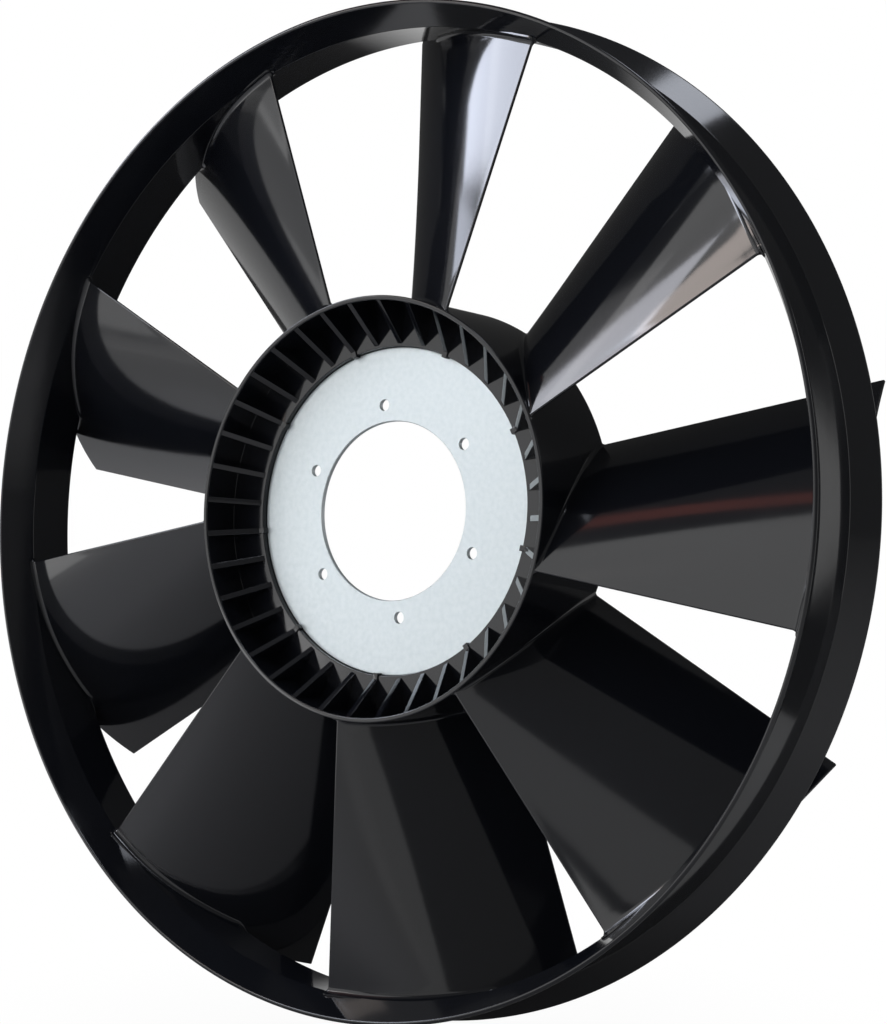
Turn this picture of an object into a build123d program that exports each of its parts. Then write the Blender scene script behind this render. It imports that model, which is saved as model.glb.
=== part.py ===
from build123d import *

import math
import os

# Axial fan impeller: a one-piece moulded wheel (shroud ring, nine blades, ribbed hub) and its steel mounting disc.
#
# The fan stands upright: its axis of rotation is Y, the inlet side faces -Y and +Z is up. The origin is on the
# axis, in the front face of the mounting disc, where the fan seats on its drive. Angles go round the axis
# clockwise as seen from the inlet side, and 0 is at the top. All lengths are in millimetres.

os.makedirs("parts", exist_ok=True)

# ---- Mounting disc: flat zinc-plated steel ----
DISC_DIAMETER = 245.0
DISC_THICKNESS = 4.0
BORE_DIAMETER = 134.0
BOLT_MARGIN = 8.5
BOLT_HOLE = 9.0
BOLT_COUNT = 6
BOLT_ANGLE = -5.0
DISC_EDGE_CHAMFER = 0.5

# ---- Hub: drum with a ribbed well in front and an open back ----
HUB_DIAMETER = 312.0
HUB_DRAFT_ANGLE = 0.95
HUB_FRONT = -36.5
HUB_REAR = 53.5
HUB_WALL = 3.5
HUB_RIM_CHAMFER = 0.8
WEB_THICKNESS = 4.0
WEB_CHAMFER = 2.0
DISC_RECESS = 4.5
DISC_CLEARANCE = 0.2
COLLAR_WALL = 5.5
SEAT_WIDTH = 5.0
SEAT_THICKNESS = 4.0
SEAT_SINK = 0.5
LAND_CLEARANCE = 0.2

# ---- Ribs in the front well; every fourth one has a nose over the edge of the disc ----
RIB_COUNT = 36
RIB_THICKNESS = 2.8
RIB_ANGLE = 5.0
RIB_BELOW_RIM = 1.2
RIB_TOE_GAP = 2.0
NOSE_EVERY = 4
NOSE_FIRST_RIB = 2
NOSE_REACH = 3.0
NOSE_FOOT = 4.0

# ---- Blades ----
BLADE_COUNT = 9
BLADE_ANGLE = -28.0
BLADE_BELOW_RIM = 1.0
BLADE_THICKNESS = 3.6
BLADE_EDGE = 2.4
BLADE_TIP_INSET = 3.0
ROOT_LEAD = 44.6
ROOT_TRAIL = 49.5
ROOT_CAMBER = 10.8
TIP_LEAD = 83.4
TIP_TRAIL = 87.9
TIP_CAMBER = 18.6

# ---- Shroud ring: bell-mouthed lip, wall and flared flange ----
RING_DIAMETER = 750.0
RING_WALL = 3.5
RING_SETBACK = 2.5
LIP_DEPTH = 26.3
LIP_RISE = 10.4
LIP_CHAMFER = 1.1
WALL_DEPTH = 42.0
WALL_RISE = 3.4
FLARE_RISE = 17.4
FLARE_ANGLE = 39.0

# ---- Places worked out from the driving sizes ----
flare = math.radians(FLARE_ANGLE)
draft = math.tan(math.radians(HUB_DRAFT_ANGLE))
disc_radius = DISC_DIAMETER / 2
recess_radius = disc_radius + DISC_CLEARANCE
bolt_circle = BORE_DIAMETER + 2 * BOLT_MARGIN + BOLT_HOLE
seat_radius = disc_radius - SEAT_WIDTH
seat_front = DISC_THICKNESS - SEAT_SINK
seat_rear = DISC_THICKNESS + SEAT_THICKNESS
land_radius = seat_radius - LAND_CLEARANCE
collar_radius = recess_radius + COLLAR_WALL
web_front = -DISC_RECESS
web_middle = web_front + WEB_THICKNESS / 2
web_rear = web_front + WEB_THICKNESS
rib_front = HUB_FRONT + RIB_BELOW_RIM
rib_toe = disc_radius + RIB_TOE_GAP
root_height = HUB_DIAMETER / 2
tip_height = RING_DIAMETER / 2
blade_front = HUB_FRONT + BLADE_BELOW_RIM
blade_tip = tip_height - BLADE_TIP_INSET
step_radius = RING_DIAMETER / 2 - RING_WALL * math.sin(flare) - FLARE_RISE
throat = Vector(step_radius - WALL_RISE, HUB_FRONT + RING_SETBACK)
step = throat + Vector(WALL_RISE, WALL_DEPTH)
lip = throat + Vector(LIP_RISE, -LIP_DEPTH)
flare_end = step + Vector(FLARE_RISE, FLARE_RISE * math.tan(flare))


def hub_radius(y: float) -> float:
    """Outer radius of the drafted hub wall at the axial place y."""
    return HUB_DIAMETER / 2 + draft * (y - HUB_FRONT)


def wall_inside(y: float) -> float:
    """Inner radius of the hub wall at the axial place y."""
    return hub_radius(y) - HUB_WALL


def wall_middle(y: float) -> float:
    """Radius of the middle of the hub wall, where blades and ribs end inside the plastic."""
    return hub_radius(y) - HUB_WALL / 2


def widened(root: float, tip: float, height: float) -> float:
    """Carry a blade size that grows evenly from root to tip on to the given height."""
    return root + (tip - root) * (height - root_height) / (tip_height - root_height)


# ---- Mounting disc: its rear edge is stepped down for the seat, and the drive's flange bears on the land ----
with BuildPart() as mounting_disc:
    with BuildSketch(Plane.XZ):
        Circle(disc_radius)
    extrude(amount=-seat_front)
    with BuildSketch(Plane.XZ):
        Circle(land_radius)
    extrude(amount=-DISC_THICKNESS)
    with BuildSketch(Plane.XZ):
        Circle(BORE_DIAMETER / 2)
        with PolarLocations(bolt_circle / 2, BOLT_COUNT, start_angle=90 - BOLT_ANGLE):
            Circle(BOLT_HOLE / 2)
    extrude(amount=-DISC_THICKNESS, mode=Mode.SUBTRACT)
    circles = mounting_disc.edges().filter_by(GeomType.CIRCLE)
    rims = circles.filter_by(lambda edge: BOLT_HOLE < edge.radius < bolt_circle / 2)
    outer_rim = circles.group_by(Axis.Y)[0].filter_by(lambda edge: edge.radius > bolt_circle / 2)
    chamfer(rims + outer_rim, DISC_EDGE_CHAMFER)

# ---- Hub drum: wall, web, and the collar and seat that hold the disc ----
with BuildPart() as hub:
    with BuildSketch(Plane.XY) as hub_section:
        with BuildLine():
            Polyline(
                (hub_radius(HUB_FRONT), HUB_FRONT),
                (hub_radius(HUB_REAR), HUB_REAR),
                (wall_inside(HUB_REAR), HUB_REAR),
                (wall_inside(web_rear), web_rear),
                (collar_radius, web_rear),
                (collar_radius, seat_rear),
                (seat_radius, seat_rear),
                (seat_radius, seat_front),
                (recess_radius, seat_front),
                (recess_radius, web_front),
                (wall_inside(web_front), web_front),
                (wall_inside(HUB_FRONT), HUB_FRONT),
                close=True,
            )
        make_face()
        web_corners = [
            corner for corner in hub_section.vertices()
            if collar_radius < corner.X < wall_middle(corner.Y) and HUB_FRONT < corner.Y < HUB_REAR
        ]
        chamfer(web_corners, WEB_CHAMFER)
        rim_corners = hub_section.vertices().group_by(Axis.Y)[0] + hub_section.vertices().group_by(Axis.Y)[-1]
        chamfer(rim_corners, HUB_RIM_CHAMFER)
    revolve(axis=Axis.Y)

# ---- One rib, standing at the right-hand side of the hub (angle 90) ----
with BuildPart() as rib:
    with BuildSketch(Plane.XY):
        with BuildLine():
            Polyline(
                (wall_middle(HUB_FRONT), rib_front),
                (wall_middle(web_front), web_middle),
                (rib_toe, web_middle),
                (rib_toe, web_front),
                (wall_inside(HUB_FRONT), rib_front),
                close=True,
            )
        make_face()
    extrude(amount=RIB_THICKNESS / 2, both=True)

# ---- One nose: the end of a rib that reaches over the edge of the disc ----
with BuildPart() as nose:
    with BuildSketch(Plane.XY):
        with Locations((disc_radius - NOSE_REACH, 0)):
            Rectangle(NOSE_REACH + NOSE_FOOT, DISC_RECESS + RIB_BELOW_RIM, align=(Align.MIN, Align.MAX))
    extrude(amount=RIB_THICKNESS / 2, both=True)

# ---- Shroud ring: conical lip in front, slightly tapered wall, flared flange behind ----
with BuildPart() as ring:
    with BuildSketch(Plane.XY) as ring_section:
        with BuildLine():
            Polyline(lip, throat, step, flare_end)
            offset(amount=RING_WALL, side=Side.RIGHT)
        make_face()
        lip_corners = ring_section.vertices().sort_by(Axis.Y)[:2]
        chamfer(lip_corners, LIP_CHAMFER)
    revolve(axis=Axis.Y)

# ---- One blade, standing up at angle 0: two cambered sections joined by straight lines ----
blade_low = math.sqrt(wall_inside(HUB_FRONT) ** 2 - ROOT_TRAIL**2) - BLADE_THICKNESS
blade_high = blade_tip + BLADE_THICKNESS
with BuildPart() as blade:
    for height in (blade_low, blade_high):
        lead = Vector(widened(ROOT_LEAD, TIP_LEAD, height), blade_front + BLADE_EDGE / 2)
        trail = Vector(-widened(ROOT_TRAIL, TIP_TRAIL, height), HUB_REAR - BLADE_EDGE / 2)
        along = (trail - lead).normalized()
        across = along.rotate(Axis.Z, 90)
        middle = (lead + trail) / 2 + across * widened(ROOT_CAMBER, TIP_CAMBER, height)
        half_edge = across * (BLADE_EDGE / 2)
        half_body = across * (BLADE_THICKNESS / 2)
        nib = along * (BLADE_EDGE / 2)
        with BuildSketch(Plane.XY.offset(height)):
            with BuildLine():
                ThreePointArc(lead + half_edge, middle + half_body, trail + half_edge)
                Polyline(trail + half_edge, trail + nib, trail - half_edge)
                ThreePointArc(trail - half_edge, middle - half_body, lead - half_edge)
                Polyline(lead - half_edge, lead - nib, lead + half_edge)
            make_face()
    loft(ruled=True)

# ---- Room that the blades fill: from inside the hub wall to inside the ring wall ----
half_wall = Vector(RING_WALL / 2, 0)
with BuildPart() as blade_room:
    with BuildSketch(Plane.XY):
        with BuildLine():
            Polyline(
                (wall_middle(HUB_FRONT), HUB_FRONT),
                (throat.X, HUB_FRONT),
                throat + half_wall,
                step + half_wall,
                (blade_tip, flare_end.Y),
                (blade_tip, HUB_REAR),
                (wall_middle(HUB_REAR), HUB_REAR),
                close=True,
            )
        make_face()
    revolve(axis=Axis.Y)

# ---- The wheel as moulded: ring, hub, ribs and blades in one piece ----
with BuildPart() as fan_wheel:
    for i in range(BLADE_COUNT):
        add(blade.part.rotate(Axis.Y, BLADE_ANGLE + i * 360 / BLADE_COUNT))
    add(blade_room.part, mode=Mode.INTERSECT)
    add(ring.part)
    add(hub.part)
    for i in range(RIB_COUNT):
        turn = RIB_ANGLE - 90 + i * 360 / RIB_COUNT
        add(rib.part.rotate(Axis.Y, turn))
        if i % NOSE_EVERY == NOSE_FIRST_RIB:
            add(nose.part.rotate(Axis.Y, turn))

mounting_disc.part.label = "mounting_disc"
export_step(mounting_disc.part, "parts/mounting_disc.step")
fan_wheel.part.label = "fan_wheel"
export_step(fan_wheel.part, "parts/fan_wheel.step")
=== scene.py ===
"""Axial fan impeller: the black moulded wheel and its pale steel mounting disc, in a plain studio.

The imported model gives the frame: the axis of rotation is Y, the inlet side faces -Y, +Z is up, and the origin
is on the axis in the front face of the disc. The sizes of the wheel and the disc are in millimetres, and
meshes and the studio are in metres. Angles go round the axis clockwise as seen from the inlet side, and 0
is at the top.
"""

import logging
import math
from collections.abc import Callable
from dataclasses import dataclass, field
from enum import Enum

import bpy
import numpy as np
from mathutils import Matrix, Vector


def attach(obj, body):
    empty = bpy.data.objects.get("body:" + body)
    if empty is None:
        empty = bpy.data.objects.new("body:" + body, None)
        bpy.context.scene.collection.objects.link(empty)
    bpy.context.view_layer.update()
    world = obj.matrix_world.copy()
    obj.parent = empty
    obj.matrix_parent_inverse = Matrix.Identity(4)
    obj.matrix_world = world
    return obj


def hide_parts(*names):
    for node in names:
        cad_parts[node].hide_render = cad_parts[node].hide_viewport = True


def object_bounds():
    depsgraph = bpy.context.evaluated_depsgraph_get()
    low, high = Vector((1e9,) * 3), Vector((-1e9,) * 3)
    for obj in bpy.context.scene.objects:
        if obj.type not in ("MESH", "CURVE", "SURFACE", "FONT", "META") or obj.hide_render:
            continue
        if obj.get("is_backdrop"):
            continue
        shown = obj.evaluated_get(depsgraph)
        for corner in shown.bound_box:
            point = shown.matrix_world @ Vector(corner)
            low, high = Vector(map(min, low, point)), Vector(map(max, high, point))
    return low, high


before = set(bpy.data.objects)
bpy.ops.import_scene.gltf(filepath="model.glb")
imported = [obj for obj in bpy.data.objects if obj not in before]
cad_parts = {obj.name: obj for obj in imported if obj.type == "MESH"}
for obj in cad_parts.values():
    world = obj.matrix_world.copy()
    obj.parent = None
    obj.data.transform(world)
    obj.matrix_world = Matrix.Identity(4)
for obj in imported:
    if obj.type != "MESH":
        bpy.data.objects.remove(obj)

LOG = logging.getLogger("fan_impeller")
MM = 0.001
WHITE = (1.0, 1.0, 1.0, 1.0)
Profile = list[tuple[float, float]]

# Sockets of a Mix node in colour mode, which share their names with those of its other modes.
MIX_A, MIX_B, MIX_RESULT = 6, 7, 2

# The search for where a blade's lines meet the hub and the ring: how far along a line it goes, as a share of
# its length, and how often it halves.
FARTHEST_SHARE = 1.2
HALVINGS = 40
TINY = 1e-6

# Watts for each square metre of a panel at level 1, which then looks 4 / pi times as bright as plain white.
PANEL_POWER = 4


class Space(Enum):
    """Node tree kinds used here."""

    SHAPE = "GeometryNodeTree"


# ---- Helpers shared by the classes -----------------------------------------------------------------------


def linear(hex_colour: str) -> tuple[float, float, float, float]:
    """Turn an sRGB hex colour into linear RGBA.

    Args:
        hex_colour: Colour such as "#1a2b3c".

    Returns:
        Linear red, green, blue and an alpha of 1.
    """
    parts = [int(hex_colour[i:i + 2], 16) / 255 for i in (1, 3, 5)]
    red, green, blue = [c / 12.92 if c <= 0.04045 else ((c + 0.055) / 1.055) ** 2.4 for c in parts]
    return red, green, blue, 1.0


def add_node(
    tree: bpy.types.NodeTree, kind: str, inputs: dict[str | int, object] | None = None, **settings: object
) -> bpy.types.Node:
    """Add one node to a tree, with its settings and its inputs.

    Args:
        tree: Shader or geometry node tree.
        kind: Node type.
        inputs: Socket name or number, to a value or to the output socket that feeds it.
        **settings: Properties of the node itself.

    Returns:
        The new node.
    """
    node = tree.nodes.new(kind)
    for name, value in settings.items():
        setattr(node, name, value)
    for name, value in (inputs or {}).items():
        if isinstance(value, bpy.types.NodeSocket):
            tree.links.new(value, node.inputs[name])
        else:
            node.inputs[name].default_value = value
    return node


def rounded(corners: Profile, radii: list[float], steps: int = 5) -> Profile:
    """Round the corners of a closed outline with arcs.

    Args:
        corners: Corner points in order.
        radii: Radius at each corner, 0 for a sharp one.
        steps: Straight pieces in each arc.

    Returns:
        The outline's points, with each arc's ends included.
    """
    outline: Profile = []
    count = len(corners)
    for i, radius in enumerate(radii):
        here = Vector(corners[i])
        back = (Vector(corners[i - 1]) - here).normalized()
        ahead = (Vector(corners[(i + 1) % count]) - here).normalized()
        if radius <= 0:
            outline.append(tuple(here))
            continue
        half = back.angle(ahead) / 2
        reach = radius / math.tan(half)
        centre = here + (back + ahead).normalized() * radius / math.sin(half)
        start, end = here + back * reach - centre, here + ahead * reach - centre
        turn = start.angle_signed(end)
        for k in range(steps + 1):
            arm = start.copy()
            arm.rotate(Matrix.Rotation(-turn * k / steps, 2))
            outline.append(tuple(centre + arm))
    return outline


def make_mesh(name: str, points: np.ndarray, faces: list[tuple[int, ...]]) -> bpy.types.Object:
    """Make an object from points in millimetres, with its faces turned outwards.

    Args:
        name: Object and mesh name.
        points: Array of shape (n, 3), in millimetres.
        faces: Vertex numbers of each face; together they close the shape.

    Returns:
        The object, linked to the scene, at the origin.
    """
    corners = points[[face[:3] for face in faces]]
    volume = np.einsum("ij,ij->i", corners[:, 0], np.cross(corners[:, 1], corners[:, 2])).sum()
    ordered = faces if volume > 0 else [face[::-1] for face in faces]
    mesh = bpy.data.meshes.new(name)
    mesh.from_pydata((points * MM).tolist(), [], ordered)
    mesh.validate()
    mesh.shade_smooth()
    made = bpy.data.objects.new(name, mesh)
    bpy.context.scene.collection.objects.link(made)
    return made


def lathe(name: str, outline: Profile, steps: int) -> bpy.types.Object:
    """Turn a closed outline (radius, y) once round the Y axis.

    Args:
        name: Name of the object.
        outline: Closed outline in millimetres.
        steps: Number of straight pieces round the axis.

    Returns:
        The closed turned shape.
    """
    angles = np.linspace(0, 2 * math.pi, steps, endpoint=False)
    radius, height = np.array(outline).T
    points = np.stack(
        [np.outer(np.sin(angles), radius), np.tile(height, (steps, 1)), np.outer(np.cos(angles), radius)],
        axis=-1,
    )
    count = len(outline)
    faces = []
    for i in range(steps):
        here, there = i * count, (i + 1) % steps * count
        for j in range(count):
            k = (j + 1) % count
            faces.append((here + j, here + k, there + k, there + j))
    return make_mesh(name, points.reshape(-1, 3), faces)


def evaluated_copy(source: bpy.types.Object, name: str) -> bpy.types.Object:
    """Turn an object with its modifiers into a plain mesh object and delete the source.

    Args:
        source: Object with live modifiers.
        name: Name of the plain object.

    Returns:
        The plain object.
    """
    graph = bpy.context.evaluated_depsgraph_get()
    mesh = bpy.data.meshes.new_from_object(source.evaluated_get(graph), depsgraph=graph)
    bpy.data.objects.remove(source)
    mesh.name = name
    made = bpy.data.objects.new(name, mesh)
    bpy.context.scene.collection.objects.link(made)
    return made


def polar_tree() -> bpy.types.NodeTree:
    """Build the geometry node tree that repeats a piece evenly round the Y axis.

    Returns:
        The tree, with inputs Piece, Count, First Angle and Finish.
    """
    tree = bpy.data.node_groups.new("repeat_round_axis", Space.SHAPE.value)
    tree.interface.new_socket("Piece", in_out="INPUT", socket_type="NodeSocketGeometry")
    tree.interface.new_socket("Count", in_out="INPUT", socket_type="NodeSocketInt")
    tree.interface.new_socket("First Angle", in_out="INPUT", socket_type="NodeSocketFloat")
    tree.interface.new_socket("Finish", in_out="INPUT", socket_type="NodeSocketMaterial")
    tree.interface.new_socket("Row", in_out="OUTPUT", socket_type="NodeSocketGeometry")
    given = add_node(tree, "NodeGroupInput")
    number = add_node(tree, "GeometryNodeInputIndex")
    pitch = add_node(tree, "ShaderNodeMath", {0: math.tau, 1: given.outputs["Count"]}, operation="DIVIDE")
    angle = add_node(
        tree, "ShaderNodeMath",
        {0: number.outputs[0], 1: pitch.outputs[0], 2: given.outputs["First Angle"]},
        operation="MULTIPLY_ADD",
    )
    turn = add_node(tree, "ShaderNodeCombineXYZ", {"Y": angle.outputs[0]})
    places = add_node(tree, "GeometryNodePoints", {"Count": given.outputs["Count"]})
    copies = add_node(
        tree, "GeometryNodeInstanceOnPoints",
        {"Points": places.outputs[0], "Instance": given.outputs["Piece"], "Rotation": turn.outputs[0]},
    )
    solid = add_node(tree, "GeometryNodeRealizeInstances", {"Geometry": copies.outputs[0]})
    dressed = add_node(
        tree, "GeometryNodeSetMaterial", {"Geometry": solid.outputs[0], "Material": given.outputs["Finish"]}
    )
    add_node(tree, "NodeGroupOutput", {"Row": dressed.outputs[0]})
    return tree


def fuse_tree(parts: list[bpy.types.Object]) -> bpy.types.NodeTree:
    """Build the geometry node tree that fuses overlapping closed parts into one moulding.

    Args:
        parts: Closed meshes that overlap where they join.

    Returns:
        The tree, with the input Finish.
    """
    tree = bpy.data.node_groups.new("fuse_moulding", Space.SHAPE.value)
    tree.interface.new_socket("Part", in_out="INPUT", socket_type="NodeSocketGeometry")
    tree.interface.new_socket("Finish", in_out="INPUT", socket_type="NodeSocketMaterial")
    tree.interface.new_socket("Moulding", in_out="OUTPUT", socket_type="NodeSocketGeometry")
    given = add_node(tree, "NodeGroupInput")
    fused = add_node(tree, "GeometryNodeMeshBoolean", operation="UNION", solver="MANIFOLD")
    for part in parts:
        taken = add_node(tree, "GeometryNodeObjectInfo", {"Object": part})
        tree.links.new(taken.outputs["Geometry"], fused.inputs["Mesh 2"])
    tree.links.new(given.outputs["Part"], fused.inputs["Mesh 2"])
    solid = add_node(tree, "GeometryNodeRealizeInstances", {"Geometry": fused.outputs["Mesh"]})
    dressed = add_node(
        tree, "GeometryNodeSetMaterial", {"Geometry": solid.outputs[0], "Material": given.outputs["Finish"]}
    )
    add_node(tree, "NodeGroupOutput", {"Moulding": dressed.outputs[0]})
    return tree


def give_tree(target: bpy.types.Object, tree: bpy.types.NodeTree, values: dict[str, object]) -> None:
    """Put a geometry node modifier on an object and set its inputs by their identifiers.

    Args:
        target: Object that gets the modifier.
        tree: Geometry node tree.
        values: Input name to value.
    """
    modifier = target.modifiers.new(tree.name, "NODES")
    modifier.node_group = tree
    for item in tree.interface.items_tree:
        if item.item_type == "SOCKET" and item.in_out == "INPUT" and item.name in values:
            modifier[item.identifier] = values[item.name]


def new_material(name: str) -> bpy.types.Material:
    """Make a material with an empty node tree.

    Args:
        name: Name of the material.

    Returns:
        The empty material.
    """
    made = bpy.data.materials.new(name)
    made.use_nodes = True
    made.node_tree.nodes.clear()
    return made


# ---- Finishes --------------------------------------------------------------------------------------------


@dataclass(frozen=True)
class MouldedNylon:
    """Black glass-filled nylon from a polished mould.

    The polish gives a deep black with clear reflections. Uneven cooling gives a faint broad peel, and the
    glass fibres a fine grain, so the edges of the reflections are a little soft. The grain is drawn coarser
    than it is, or it would not show.
    """

    base: str = "#0C0D11"
    dusted: str = "#13151A"
    roughness: float = 0.09
    roughness_spread: float = 0.025
    ior: float = 1.53
    cloud_mm: float = 1000 / 9
    cloud_range: tuple[float, float] = (0.3, 0.7)
    peel_mm: float = 14.0
    peel_depth: float = 0.03
    peel_strength: float = 0.5
    grain_mm: float = 0.9
    grain_depth: float = 0.05
    grain_strength: float = 0.04

    def material(self) -> bpy.types.Material:
        """Build the node material.

        Returns:
            The material, on Object coordinates.
        """
        made = new_material("moulded_glass_filled_nylon")
        tree = made.node_tree
        place = add_node(tree, "ShaderNodeTexCoord").outputs["Object"]
        peel = add_node(
            tree, "ShaderNodeTexNoise", {"Vector": place, "Scale": 1 / (self.peel_mm * MM), "Detail": 2.0}
        )
        grain = add_node(
            tree, "ShaderNodeTexNoise", {"Vector": place, "Scale": 1 / (self.grain_mm * MM), "Detail": 3.0}
        )
        cloud = add_node(
            tree, "ShaderNodeTexNoise", {"Vector": place, "Scale": 1 / (self.cloud_mm * MM), "Detail": 4.0}
        )
        thin, thick = self.cloud_range
        rough = add_node(
            tree, "ShaderNodeMapRange",
            {
                "Value": cloud.outputs[0], "From Min": thin, "From Max": thick,
                "To Min": self.roughness - self.roughness_spread,
                "To Max": self.roughness + self.roughness_spread,
            },
        )
        colour = add_node(
            tree, "ShaderNodeMix",
            {"Factor": cloud.outputs[0], MIX_A: linear(self.base), MIX_B: linear(self.dusted)},
            data_type="RGBA",
        )
        fine = add_node(
            tree, "ShaderNodeBump",
            {
                "Strength": self.grain_strength, "Distance": self.grain_depth * MM,
                "Height": grain.outputs[0],
            },
        )
        broad = add_node(
            tree, "ShaderNodeBump",
            {
                "Strength": self.peel_strength, "Distance": self.peel_depth * MM,
                "Height": peel.outputs[0], "Normal": fine.outputs[0],
            },
        )
        shader = add_node(
            tree, "ShaderNodeBsdfPrincipled",
            {
                "Base Color": colour.outputs[MIX_RESULT], "Roughness": rough.outputs[0], "IOR": self.ior,
                "Normal": broad.outputs[0],
            },
        )
        add_node(tree, "ShaderNodeOutputMaterial", {"Surface": shader.outputs[0]})
        return made


@dataclass(frozen=True)
class ZincPlate:
    """Pale zinc plate on cold-rolled sheet, which looks a matt blue-white with a fine, barely seen mottle.

    The chalky bloom on the plate scatters part of the light, so it is only partly metallic.
    """

    base: str = "#D2DADD"
    dull: str = "#CDD6D9"
    metallic: float = 0.55
    roughness: float = 0.42
    smoother: float = 0.05
    rougher: float = 0.08
    spangle_mm: float = 4.0
    spangle_range: tuple[float, float] = (0.35, 0.65)

    def material(self) -> bpy.types.Material:
        """Build the node material.

        Returns:
            The material, on Object coordinates.
        """
        made = new_material("zinc_plated_sheet_steel")
        tree = made.node_tree
        place = add_node(tree, "ShaderNodeTexCoord").outputs["Object"]
        mottle = add_node(
            tree, "ShaderNodeTexNoise", {"Vector": place, "Scale": 1 / (self.spangle_mm * MM), "Detail": 4.0}
        )
        thin, thick = self.spangle_range
        spread = add_node(
            tree, "ShaderNodeMapRange", {"Value": mottle.outputs[0], "From Min": thin, "From Max": thick}
        )
        colour = add_node(
            tree, "ShaderNodeMix",
            {"Factor": spread.outputs[0], MIX_A: linear(self.base), MIX_B: linear(self.dull)},
            data_type="RGBA",
        )
        rough = add_node(
            tree, "ShaderNodeMapRange",
            {
                "Value": spread.outputs[0], "To Min": self.roughness - self.smoother,
                "To Max": self.roughness + self.rougher,
            },
        )
        shader = add_node(
            tree, "ShaderNodeBsdfPrincipled",
            {
                "Base Color": colour.outputs[MIX_RESULT], "Roughness": rough.outputs[0],
                "Metallic": self.metallic,
            },
        )
        add_node(tree, "ShaderNodeOutputMaterial", {"Surface": shader.outputs[0]})
        return made


# ---- The moulded wheel -----------------------------------------------------------------------------------


@dataclass
class ShroudRing:
    """Outer ring: conical lip, slightly tapered wall, step and flared flange."""

    diameter: float = 750.0
    wall: float = 3.5
    throat_y: float = -34.0
    lip_depth: float = 26.3
    lip_rise: float = 10.4
    wall_depth: float = 42.0
    wall_rise: float = 3.4
    flare_rise: float = 17.4
    flare_angle: float = 39.0
    edge_round: float = 1.5
    crease_round: float = 2.0
    steps: int = 480
    inside: Profile = field(init=False)

    def __post_init__(self) -> None:
        """Work out the inner profile from the sizes."""
        flare = math.radians(self.flare_angle)
        step_radius = self.diameter / 2 - self.wall * math.sin(flare) - self.flare_rise
        throat = (step_radius - self.wall_rise, self.throat_y)
        step = (step_radius, self.throat_y + self.wall_depth)
        lip = (throat[0] + self.lip_rise, throat[1] - self.lip_depth)
        end = (step[0] + self.flare_rise, step[1] + self.flare_rise * math.tan(flare))
        self.inside = [lip, throat, step, end]

    def outline(self) -> Profile:
        """Return the closed section of the ring's wall, with rounded edges and creases.

        Returns:
            Points (radius, y), in millimetres.
        """
        path = [Vector(point) for point in self.inside]
        normals = []
        for a, b in zip(path, path[1:]):
            along = (b - a).normalized()
            normals.append(Vector((along.y, -along.x)))
        outside = [path[0] + normals[0] * self.wall]
        for i in (1, 2):
            middle = (normals[i - 1] + normals[i]).normalized()
            outside.append(path[i] + middle * self.wall / middle.dot(normals[i]))
        outside.append(path[3] + normals[2] * self.wall)
        corners = [tuple(point) for point in path + outside[::-1]]
        edge, crease = self.edge_round, self.crease_round
        return rounded(corners, [edge, crease, crease, edge, edge, crease, crease, edge])

    def inner_radius(self, y: np.ndarray) -> np.ndarray:
        """Return the inner radius at each axial place."""
        radius, place = np.array(self.inside).T
        return np.interp(y, place, radius)

    def build(self) -> bpy.types.Object:
        """Build the turned ring."""
        return lathe("shroud_ring", self.outline(), self.steps)


@dataclass
class HubDrum:
    """Hub: drafted drum wall, web, and the collar and seat that hold the disc."""

    diameter: float = 312.0
    draft_angle: float = 0.95
    front: float = -36.5
    rear: float = 53.5
    wall: float = 3.5
    rim_round: float = 1.0
    web_front: float = -4.5
    web: float = 4.0
    web_fillet: float = 0.3
    disc_radius: float = 122.5
    disc_thickness: float = 4.0
    disc_clearance: float = 0.2
    collar: float = 5.5
    seat_width: float = 5.0
    seat: float = 4.0
    small_round: float = 0.5
    steps: int = 360

    def radius(self, y: np.ndarray | float) -> np.ndarray | float:
        """Return the outer radius of the wall at an axial place."""
        return self.diameter / 2 + math.tan(math.radians(self.draft_angle)) * (y - self.front)

    def outline(self) -> Profile:
        """Return the closed section of the drum, with rounded rims and filleted web.

        Returns:
            Points (radius, y), in millimetres.
        """
        recess = self.disc_radius + self.disc_clearance
        web_rear = self.web_front + self.web
        seat_rear = self.disc_thickness + self.seat
        seat_radius = self.disc_radius - self.seat_width
        corners = [
            (self.radius(self.front), self.front),
            (self.radius(self.rear), self.rear),
            (self.radius(self.rear) - self.wall, self.rear),
            (self.radius(web_rear) - self.wall, web_rear),
            (recess + self.collar, web_rear),
            (recess + self.collar, seat_rear),
            (seat_radius, seat_rear),
            (seat_radius, self.disc_thickness),
            (recess, self.disc_thickness),
            (recess, self.web_front),
            (self.radius(self.web_front) - self.wall, self.web_front),
            (self.radius(self.front) - self.wall, self.front),
        ]
        rim, fillet, small = self.rim_round, self.web_fillet, self.small_round
        radii = [rim, rim, rim, fillet, fillet, small, small, small, 0.0, small, fillet, rim]
        return rounded(corners, radii)

    def build(self) -> bpy.types.Object:
        """Build the turned drum."""
        return lathe("hub_drum", self.outline(), self.steps)


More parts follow.
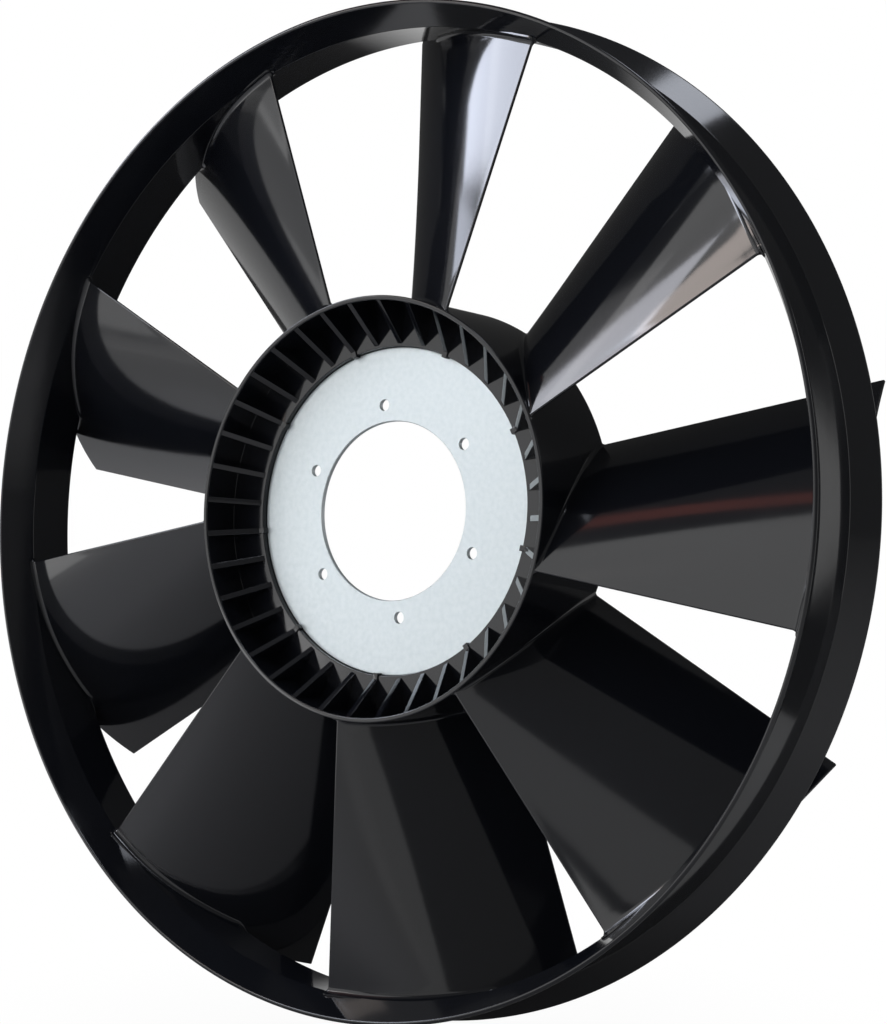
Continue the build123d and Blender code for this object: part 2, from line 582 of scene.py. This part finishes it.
@dataclass
class RibRow:
    """Radial ribs in the hub's front well; some end in a nose over the disc's edge."""

    hub: HubDrum
    count: int = 36
    thickness: float = 4.3
    first_angle: float = 5.0
    below_rim: float = 1.2
    toe_gap: float = 2.0
    nose_every: int = 4
    nose_first: int = 2
    nose_reach: float = 1.5
    nose_foot: float = 4.0
    nose_gap: float = 0.05
    edge_round: float = 0.45
    edge_steps: int = 2

    def slab(self, name: str, outline: Profile) -> bpy.types.Object:
        """Build a flat slab standing up at angle 0, with rounded edges.

        Args:
            name: Name of the object.
            outline: Corners as (radius, y), in millimetres.

        Returns:
            The slab, with a live bevel.
        """
        half, count = self.thickness / 2, len(outline)
        sides = [[(side, y, radius) for radius, y in outline] for side in (-half, half)]
        faces = [tuple(range(count)), tuple(reversed(range(count, 2 * count)))]
        for i in range(count):
            j = (i + 1) % count
            faces.append((j, i, count + i, count + j))
        made = make_mesh(name, np.array(sides[0] + sides[1]), faces)
        bevel = made.modifiers.new("moulded_edges", "BEVEL")
        bevel.width, bevel.segments = self.edge_round * MM, self.edge_steps
        bevel.limit_method = "ANGLE"
        return made

    def row(
        self, piece: bpy.types.Object, count: int, first: float, finish: bpy.types.Material
    ) -> bpy.types.Object:
        """Repeat a slab round the axis and return the row as a plain mesh.

        Args:
            piece: Slab standing up at angle 0.
            count: Number of copies.
            first: Angle of the first copy, in degrees.
            finish: Material of the copies.

        Returns:
            The plain row.
        """
        give_tree(piece, polar_tree(), {"Count": count, "First Angle": math.radians(first), "Finish": finish})
        return evaluated_copy(piece, piece.name + "_row")

    def build(self, finish: bpy.types.Material) -> list[bpy.types.Object]:
        """Build the ribs and the noses.

        Args:
            finish: Material of the moulding.

        Returns:
            The row of ribs and the row of noses.
        """
        hub = self.hub
        front, toe = hub.front + self.below_rim, hub.disc_radius + self.toe_gap
        inside = hub.radius(hub.front) - hub.wall
        middle, web_middle = inside + hub.wall / 2, hub.web_front + hub.web / 2
        rib = self.slab(
            "rib",
            [(middle, front), (middle, web_middle), (toe, web_middle), (toe, hub.web_front), (inside, front)],
        )
        low, high = hub.disc_radius - self.nose_reach, hub.disc_radius + self.nose_foot
        top = hub.web_front - self.below_rim
        bottom = -self.nose_gap
        nose = self.slab("nose", [(high, top), (high, bottom), (low, bottom), (low, top)])
        step = 360 / self.count
        return [
            self.row(rib, self.count, self.first_angle, finish),
            self.row(nose, self.count // self.nose_every, self.first_angle + self.nose_first * step, finish),
        ]


@dataclass
class BladeRow:
    """Twisted, cambered blades, filleted into the hub and the ring; their rear tips run free behind it."""

    hub: HubDrum
    ring: ShroudRing
    count: int = 9
    angle: float = -28.0
    below_rim: float = 1.0
    thickness: float = 3.6
    edge: float = 2.4
    tip_inset: float = 3.0
    root_lead: float = 44.6
    root_trail: float = 49.5
    root_camber: float = 10.8
    tip_lead: float = 83.4
    tip_trail: float = 87.9
    tip_camber: float = 18.6
    root_fillet: float = 2.8
    tip_fillet: float = 4.2
    least_fillet: float = 0.2
    tip_round: float = 0.9
    cap_inset: float = 0.1
    rim_margin: float = 0.6
    free_from: float = 16.0
    free_over: float = 6.0
    sunk: float = 1.2
    start_below: float = 20.0
    end_above: float = 5.0
    chord_steps: int = 44
    nose_steps: int = 4
    span_steps: int = 30
    fillet_steps: int = 6

    def size_at(self, root: float, tip: float, height: float) -> float:
        """Return a blade size that grows evenly from the hub to the outer radius, at a height."""
        low, high = self.hub.diameter / 2, self.ring.diameter / 2
        return root + (tip - root) * (height - low) / (high - low)

    @staticmethod
    def arc(start: np.ndarray, middle: np.ndarray, end: np.ndarray, steps: int) -> np.ndarray:
        """Return points on the arc through three points, both ends included.

        Args:
            start: First end.
            middle: Point between the ends.
            end: Last end.
            steps: Straight pieces in the arc.

        Returns:
            Array of shape (steps + 1, 2).
        """
        a, b = middle - start, end - start
        cross = 2 * (a[0] * b[1] - a[1] * b[0])
        centre = start + np.array(
            [b[1] * a.dot(a) - a[1] * b.dot(b), a[0] * b.dot(b) - b[0] * a.dot(a)]
        ) / cross
        radius = np.hypot(*(start - centre))
        first, mid, last = [math.atan2(p[1] - centre[1], p[0] - centre[0]) for p in (start, middle, end)]
        turn = (last - first + math.pi) % math.tau - math.pi
        half = (mid - first + math.pi) % math.tau - math.pi
        if turn * half < 0:
            turn -= math.copysign(math.tau, turn)
        angles = first + turn * np.linspace(0, 1, steps + 1)
        return centre + radius * np.stack([np.cos(angles), np.sin(angles)], axis=1)

    def section(self, height: float) -> np.ndarray:
        """Return the closed section (x, y) of the blade at a height, from the leading nose all the way round.

        Args:
            height: Distance from the axis, in millimetres.

        Returns:
            Array of shape (2 * half, 2), where point half is the middle of the trailing edge.
        """
        front, rear = self.hub.front + self.below_rim, self.hub.rear - self.least_fillet
        lead = np.array([self.size_at(self.root_lead, self.tip_lead, height), front])
        trail = np.array([-self.size_at(self.root_trail, self.tip_trail, height), rear])
        lead[1] += self.edge / 2
        trail[1] -= self.edge / 2
        along = (trail - lead) / np.hypot(*(trail - lead))
        across = np.array([-along[1], along[0]])
        middle = (lead + trail) / 2 + across * self.size_at(self.root_camber, self.tip_camber, height)
        half_edge, half_body, nib = across * self.edge / 2, across * self.thickness / 2, along * self.edge / 2
        above = self.arc(lead + half_edge, middle + half_body, trail + half_edge, self.chord_steps)
        below = self.arc(trail - half_edge, middle - half_body, lead - half_edge, self.chord_steps)
        tail = self.arc(trail + half_edge, trail + nib, trail - half_edge, 2 * self.nose_steps)
        nose = self.arc(lead - half_edge, lead - nib, lead + half_edge, 2 * self.nose_steps)
        n = self.nose_steps
        return np.concatenate([nose[n:-1], above[:-1], tail[:-1], below[:-1], nose[:n]])

    def reach(
        self, low: np.ndarray, high: np.ndarray, surface: Callable[[np.ndarray], np.ndarray]
    ) -> np.ndarray:
        """Find how far along each straight line of the blade a surface of revolution lies, by halving.

        Args:
            low: Lower ends of the lines, shape (n, 3).
            high: Upper ends, shape (n, 3).
            surface: Function from y to radius.

        Returns:
            Share of the way from low to high, for each line.
        """
        start, end = np.zeros(len(low)), np.full(len(low), FARTHEST_SHARE)
        for _ in range(HALVINGS):
            share = (start + end) / 2
            point = low + share[:, None] * (high - low)
            inside = np.hypot(point[:, 0], point[:, 2]) < surface(point[:, 1])
            start, end = np.where(inside, share, start), np.where(inside, end, share)
        return start

    def mesh(self) -> bpy.types.Object:
        """Build one blade standing up at angle 0, as a closed shape with flared ends.

        Returns:
            The blade.
        """
        hub, ring = self.hub, self.ring
        floor, ceiling = hub.diameter / 2 - self.start_below, ring.diameter / 2 + self.end_above
        tip_radius = ring.diameter / 2 - self.tip_inset
        lower, upper = self.section(floor), self.section(ceiling)
        low = np.insert(lower, 1, floor, axis=1)
        high = np.insert(upper, 1, ceiling, axis=1)
        low, high = low[:, [0, 2, 1]], high[:, [0, 2, 1]]
        root = self.reach(low, high, hub.radius)
        tip = self.reach(low, high, lambda y: np.minimum(ring.inner_radius(y), tip_radius))
        tip_point = low + tip[:, None] * (high - low)
        free = np.clip((tip_point[:, 1] - self.free_from) / self.free_over, 0, 1)
        step = np.roll(low, -1, axis=0) - np.roll(low, 1, axis=0)
        normal = np.stack([step[:, 1], -step[:, 0], np.zeros(len(low))], axis=1)
        centre = low.mean(axis=0)
        away = np.sign(np.einsum("ij,ij->i", normal, low - centre).sum())
        normal *= away / np.linalg.norm(normal, axis=1)[:, None]
        root_point = low + root[:, None] * (high - low)
        room_front = (root_point[:, 1] - hub.front - self.rim_margin) / np.maximum(-normal[:, 1], TINY)
        room_rear = (hub.rear - self.rim_margin - root_point[:, 1]) / np.maximum(normal[:, 1], TINY)
        flare = np.clip(np.minimum(room_front, room_rear), self.least_fillet, self.root_fillet)
        length = np.linalg.norm(high - low, axis=1)

        def ringed(share: np.ndarray, spread: np.ndarray) -> np.ndarray:
            """Return the points at a share of each line, spread outwards at right angles to their radius.

            Args:
                share: Share of the way along each line.
                spread: Distance outwards from each line, in millimetres.

            Returns:
                Array of shape (n, 3).
            """
            point = low + share[:, None] * (high - low)
            radial = point * [1, 0, 1]
            radial /= np.linalg.norm(radial, axis=1)[:, None]
            flat = normal - np.einsum("ij,ij->i", normal, radial)[:, None] * radial
            flat /= np.linalg.norm(flat, axis=1)[:, None]
            return point + spread[:, None] * flat

        rings = [ringed(root - self.sunk / length, flare)]
        turns = np.linspace(0, math.pi / 2, self.fillet_steps + 1)
        for turn in turns:
            rise, spread = flare * (1 - math.cos(turn)), flare * (1 - math.sin(turn))
            rings.append(ringed(root + rise / length, spread))
        tip_flare, tip_round = self.tip_fillet * (1 - free), self.tip_round * free
        low_end = root + flare / length
        high_end = tip - (tip_flare + tip_round) / length
        for share in np.linspace(0, 1, self.span_steps + 1)[1:-1]:
            rings.append(ringed(low_end + share * (high_end - low_end), np.zeros(len(low))))
        for turn in turns[::-1]:
            drop = (tip_flare + tip_round) * (1 - math.cos(turn))
            spread = (tip_flare - tip_round) * (1 - math.sin(turn))
            rings.append(ringed(tip - drop / length, spread))
        cap_spread = tip_flare - (self.tip_round + self.cap_inset) * free
        rings.append(ringed(tip + self.sunk * (1 - free) / length, cap_spread))
        return make_mesh("blade", np.concatenate(rings), self.skin(len(low), len(rings)))

    @staticmethod
    def skin(count: int, layers: int) -> list[tuple[int, ...]]:
        """Return the faces between rings of points, with both ends closed by strips across the blade.

        Args:
            count: Points in each ring.
            layers: Number of rings.

        Returns:
            Point numbers of each face.
        """
        faces = []
        for i in range(layers - 1):
            for j in range(count):
                k = (j + 1) % count
                faces.append((i * count + j, i * count + k, (i + 1) * count + k, (i + 1) * count + j))
        for base, flip in ((0, True), ((layers - 1) * count, False)):
            for j in range(count // 2):
                across = [j, j + 1, (count - j - 1) % count, (count - j) % count]
                face = tuple(dict.fromkeys(base + point for point in across))
                faces.append(face[::-1] if flip else face)
        return faces

    def build(self, finish: bpy.types.Material) -> bpy.types.Object:
        """Build the row of blades.

        Args:
            finish: Material of the moulding.

        Returns:
            The plain row.
        """
        blade = self.mesh()
        give_tree(
            blade, polar_tree(),
            {"Count": self.count, "First Angle": math.radians(self.angle), "Finish": finish},
        )
        return evaluated_copy(blade, "blade_row")


@dataclass
class FanWheel:
    """The whole moulding: ring, hub, ribs and blades fused into one piece."""

    ring: ShroudRing = field(default_factory=ShroudRing)
    hub: HubDrum = field(default_factory=HubDrum)
    sharp_angle: float = 32.0

    def build(self, finish: bpy.types.Material) -> bpy.types.Object:
        """Build the moulding.

        Args:
            finish: Material of the moulding.

        Returns:
            The wheel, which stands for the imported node.
        """
        blades = BladeRow(self.hub, self.ring).build(finish)
        ribs = RibRow(self.hub).build(finish)
        drum = self.hub.build()
        body = self.ring.build()
        parts = [blades, drum, *ribs]
        give_tree(body, fuse_tree(parts), {"Finish": finish})
        wheel = evaluated_copy(body, "moulded_wheel")
        for part in parts:
            bpy.data.objects.remove(part)
        wheel.data.set_sharp_from_angle(angle=math.radians(self.sharp_angle))
        wheel.modifiers.new("even_shading", "WEIGHTED_NORMAL").keep_sharp = True
        wheel = evaluated_copy(wheel, "fan_wheel_moulding")
        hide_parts("fan_wheel")
        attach(wheel, "root")
        return wheel


@dataclass
class MountingDisc:
    """Flat steel disc in the hub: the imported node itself, dressed."""

    node: str = "mounting_disc"

    def build(self, finish: bpy.types.Material) -> bpy.types.Object:
        """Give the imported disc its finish.

        Args:
            finish: Material of the disc.

        Returns:
            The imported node.
        """
        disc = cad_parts[self.node]
        disc.data.materials.clear()
        disc.data.materials.append(finish)
        return disc


# ---- Studio ----------------------------------------------------------------------------------------------


def facing(azimuth: float, elevation: float) -> Vector:
    """Return a unit vector by its angles, where azimuth 0 is towards the inlet side and 90 towards +X.

    Args:
        azimuth: Angle round the vertical, in degrees.
        elevation: Angle above the horizon, in degrees.

    Returns:
        The direction.
    """
    turn, rise = math.radians(azimuth), math.radians(elevation)
    return Vector((math.sin(turn) * math.cos(rise), -math.cos(turn) * math.cos(rise), math.sin(rise)))


@dataclass(frozen=True)
class SoftBox:
    """One rectangular studio panel of even brightness, aimed at the middle of the fan."""

    name: str
    azimuth: float
    elevation: float
    distance: float
    width: float
    height: float
    level: float
    colour: str = "#FFFFFF"

    def build(self) -> None:
        """Hang the panel; in a mirror, level 1 looks 4 / pi times as bright as plain white."""
        lamp = bpy.data.lights.new(self.name, "AREA")
        lamp.shape, lamp.size, lamp.size_y = "RECTANGLE", self.width, self.height
        lamp.energy = PANEL_POWER * self.level * self.width * self.height
        lamp.color = linear(self.colour)[:3]
        made = bpy.data.objects.new(self.name, lamp)
        towards = facing(self.azimuth, self.elevation)
        made.location = towards * self.distance
        made.rotation_euler = (-towards).to_track_quat("-Z", "Y").to_euler()
        bpy.context.scene.collection.objects.link(made)


@dataclass
class Studio:
    """Camera, soft panels, pale floor and white surround."""

    camera_place: tuple[float, float, float] = (0.80437, -1.06941, -0.09553)
    camera_azimuth: float = 35.291
    camera_elevation: float = -4.042
    focal_px: float = 1799.0
    clip_start: float = 0.05
    frame_px: tuple[int, int] = (887, 1024)
    sensor: float = 36.0
    floor_drop: float = 0.02
    floor_reach: float = 6.0
    floor_back: float = 0.52
    floor_shadow_reach: float = 0.62
    floor_whiteness: float = 0.85
    # Grey of the paper close to the fan: painted shade, darker than the paper's own pale colour.
    floor_painted_shade: float = 0.2
    floor_pale: float = 0.84
    floor_painted_shade_reach: tuple[float, float] = (0.25, 0.75)
    diffuse_level: float = 0.3
    room_level: float = 0.18
    rear_level: float = 0.05
    rear_cosines: tuple[float, float] = (-0.2, 0.4)
    backdrop_cosine: float = 0.965

    def camera(self) -> None:
        """Make the camera and set it on the scene."""
        back = facing(self.camera_azimuth, self.camera_elevation)
        right = back.cross(Vector((0, 0, -1))).normalized()
        lens = bpy.data.cameras.new("camera")
        lens.sensor_fit, lens.sensor_width = "AUTO", self.sensor
        lens.lens = self.focal_px * self.sensor / max(self.frame_px)
        lens.clip_start = self.clip_start
        made = bpy.data.objects.new("camera", lens)
        axes = Matrix((right, back.cross(right), back)).transposed()
        made.matrix_world = Matrix.Translation(self.camera_place) @ axes.to_4x4()
        bpy.context.scene.collection.objects.link(made)
        bpy.context.scene.camera = made

    def surround(self) -> None:
        """Set the world, which differs by kind of ray.

        The eye and clear materials see white. Matt surfaces get a plain level. Reflections see a room that
        dims behind the fan, with the white backdrop straight behind it.
        """
        world = bpy.data.worlds.new("studio")
        world.use_nodes = True
        tree = world.node_tree
        tree.nodes.clear()
        path = add_node(tree, "ShaderNodeLightPath")
        place = add_node(tree, "ShaderNodeTexCoord").outputs["Generated"]
        behind = facing(self.camera_azimuth + 180, 0)
        along = add_node(
            tree, "ShaderNodeVectorMath", {0: place, 1: tuple(behind)}, operation="DOT_PRODUCT"
        ).outputs["Value"]
        start, end = self.rear_cosines
        room = add_node(
            tree, "ShaderNodeMapRange",
            {
                "Value": along, "From Min": start, "From Max": end,
                "To Min": self.room_level, "To Max": self.rear_level,
            },
        )
        backdrop = add_node(
            tree, "ShaderNodeMapRange",
            {"Value": along, "From Min": self.backdrop_cosine, "From Max": 1.0, "To Min": room.outputs[0]},
        )
        mirrored = add_node(
            tree, "ShaderNodeMix",
            {"Factor": path.outputs["Is Glossy Ray"], "A": self.diffuse_level, "B": backdrop.outputs[0]},
        )
        seen = add_node(
            tree, "ShaderNodeMath",
            {0: path.outputs["Is Camera Ray"], 1: path.outputs["Is Transmission Ray"]}, operation="MAXIMUM",
        )
        level = add_node(
            tree, "ShaderNodeMix", {"Factor": seen.outputs[0], "A": mirrored.outputs[0], "B": 1.0}
        )
        light = add_node(tree, "ShaderNodeBackground", {"Color": WHITE, "Strength": level.outputs[0]})
        add_node(tree, "ShaderNodeOutputWorld", {"Surface": light.outputs[0]})
        bpy.context.scene.world = world

    def floor_paint(self) -> bpy.types.Material:
        """Build the pale paper: painted shade greys it under the fan; it keeps its shadow and runs out into
        white.

        Returns:
            The material, on Object coordinates.
        """
        paint = new_material("white_paper_floor")
        tree = paint.node_tree
        place = add_node(tree, "ShaderNodeTexCoord").outputs["Object"]
        away = add_node(tree, "ShaderNodeVectorMath", {0: place}, operation="LENGTH").outputs["Value"]
        fade = add_node(
            tree, "ShaderNodeMapRange",
            {
                "Value": away, "From Min": 0.0, "From Max": self.floor_shadow_reach,
                "To Min": self.floor_whiteness, "To Max": 1.0,
            },
            interpolation_type="SMOOTHSTEP",
        )
        seen = add_node(tree, "ShaderNodeLightPath").outputs["Is Camera Ray"]
        share = add_node(tree, "ShaderNodeMath", {0: fade.outputs[0], 1: seen}, operation="MULTIPLY")
        # Painted shade: inside this reach the paper's colour darkens towards the fan, standing in for shade
        # under it.
        inner, outer = self.floor_painted_shade_reach
        painted_shade_grey = add_node(
            tree, "ShaderNodeMapRange",
            {
                "Value": away, "From Min": inner, "From Max": outer,
                "To Min": self.floor_painted_shade, "To Max": self.floor_pale,
            },
        )
        paper = add_node(tree, "ShaderNodeBsdfDiffuse", {"Color": painted_shade_grey.outputs[0]})
        white = add_node(tree, "ShaderNodeEmission", {"Color": WHITE, "Strength": 1.0})
        mix = add_node(
            tree, "ShaderNodeMixShader", {0: share.outputs[0], 1: paper.outputs[0], 2: white.outputs[0]}
        )
        add_node(tree, "ShaderNodeOutputMaterial", {"Surface": mix.outputs[0]})
        return paint

    def floor(self) -> None:
        """Lay the floor under the ring."""
        low, reach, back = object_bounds()[0].z - self.floor_drop, self.floor_reach, self.floor_back
        mesh = bpy.data.meshes.new("floor")
        corners = [(-reach, -reach, low), (reach, -reach, low), (reach, back, low), (-reach, back, low)]
        mesh.from_pydata(corners, [], [(0, 1, 2, 3)])
        mesh.materials.append(self.floor_paint())
        made = bpy.data.objects.new("floor", mesh)
        bpy.context.scene.collection.objects.link(made)
        made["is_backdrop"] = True

    def build(self, lamps: list[SoftBox]) -> None:
        """Set up the whole studio.

        Args:
            lamps: Soft boxes to hang.
        """
        bpy.context.scene.view_settings.view_transform = "Standard"
        self.camera()
        self.surround()
        self.floor()
        for lamp in lamps:
            lamp.build()


PANELS = [
    SoftBox("front_wall", azimuth=-36, elevation=16, distance=2.6, width=2.4, height=3.3, level=0.98),
    SoftBox("front_left_wall", azimuth=-74, elevation=14, distance=2.7, width=1.35, height=2.6, level=0.5),
    SoftBox("front_left_low", azimuth=-50, elevation=-7, distance=1.75, width=0.6, height=0.33, level=1.3),
    SoftBox("front_right_wall", azimuth=6, elevation=8, distance=2.7, width=1.4, height=1.9, level=0.42),
    SoftBox(
        "window", azimuth=-58, elevation=33, distance=1.58, width=0.85, height=0.17, level=9.0,
        colour="#E6EDFF",
    ),
    SoftBox(
        "window_side", azimuth=-33, elevation=33, distance=1.58, width=0.4, height=0.17, level=4.0,
        colour="#FFEFE6",
    ),
    SoftBox(
        "window_head", azimuth=-58, elevation=38, distance=1.6, width=0.85, height=0.12, level=4.6,
        colour="#F2F4FF",
    ),
    SoftBox(
        "window_foot", azimuth=-70, elevation=26.5, distance=1.6, width=0.35, height=0.12, level=4.5,
        colour="#E6EDFF",
    ),
    SoftBox("left_low", azimuth=-100, elevation=3, distance=2.4, width=1.9, height=0.9, level=0.33),
    SoftBox(
        "warm_strip", azimuth=-54, elevation=57, distance=2.2, width=1.3, height=0.11, level=0.6,
        colour="#FF8A78",
    ),
    SoftBox(
        "overhead", azimuth=53, elevation=71, distance=1.9, width=0.55, height=0.34, level=5.5,
        colour="#EEF3FF",
    ),
    SoftBox("rear_wall", azimuth=126, elevation=8, distance=2.6, width=1.5, height=2.0, level=0.55),
]


def main() -> None:
    """Build the fan impeller and its studio."""
    logging.basicConfig(level=logging.INFO, format="%(name)s: %(message)s")
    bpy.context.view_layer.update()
    wheel = FanWheel().build(MouldedNylon().material())
    LOG.info("%s: %d faces", wheel.name, len(wheel.data.polygons))
    disc = MountingDisc().build(ZincPlate().material())
    LOG.info("%s: %d faces", disc.name, len(disc.data.polygons))
    Studio().build(PANELS)


if __name__ == "__main__":
    main()
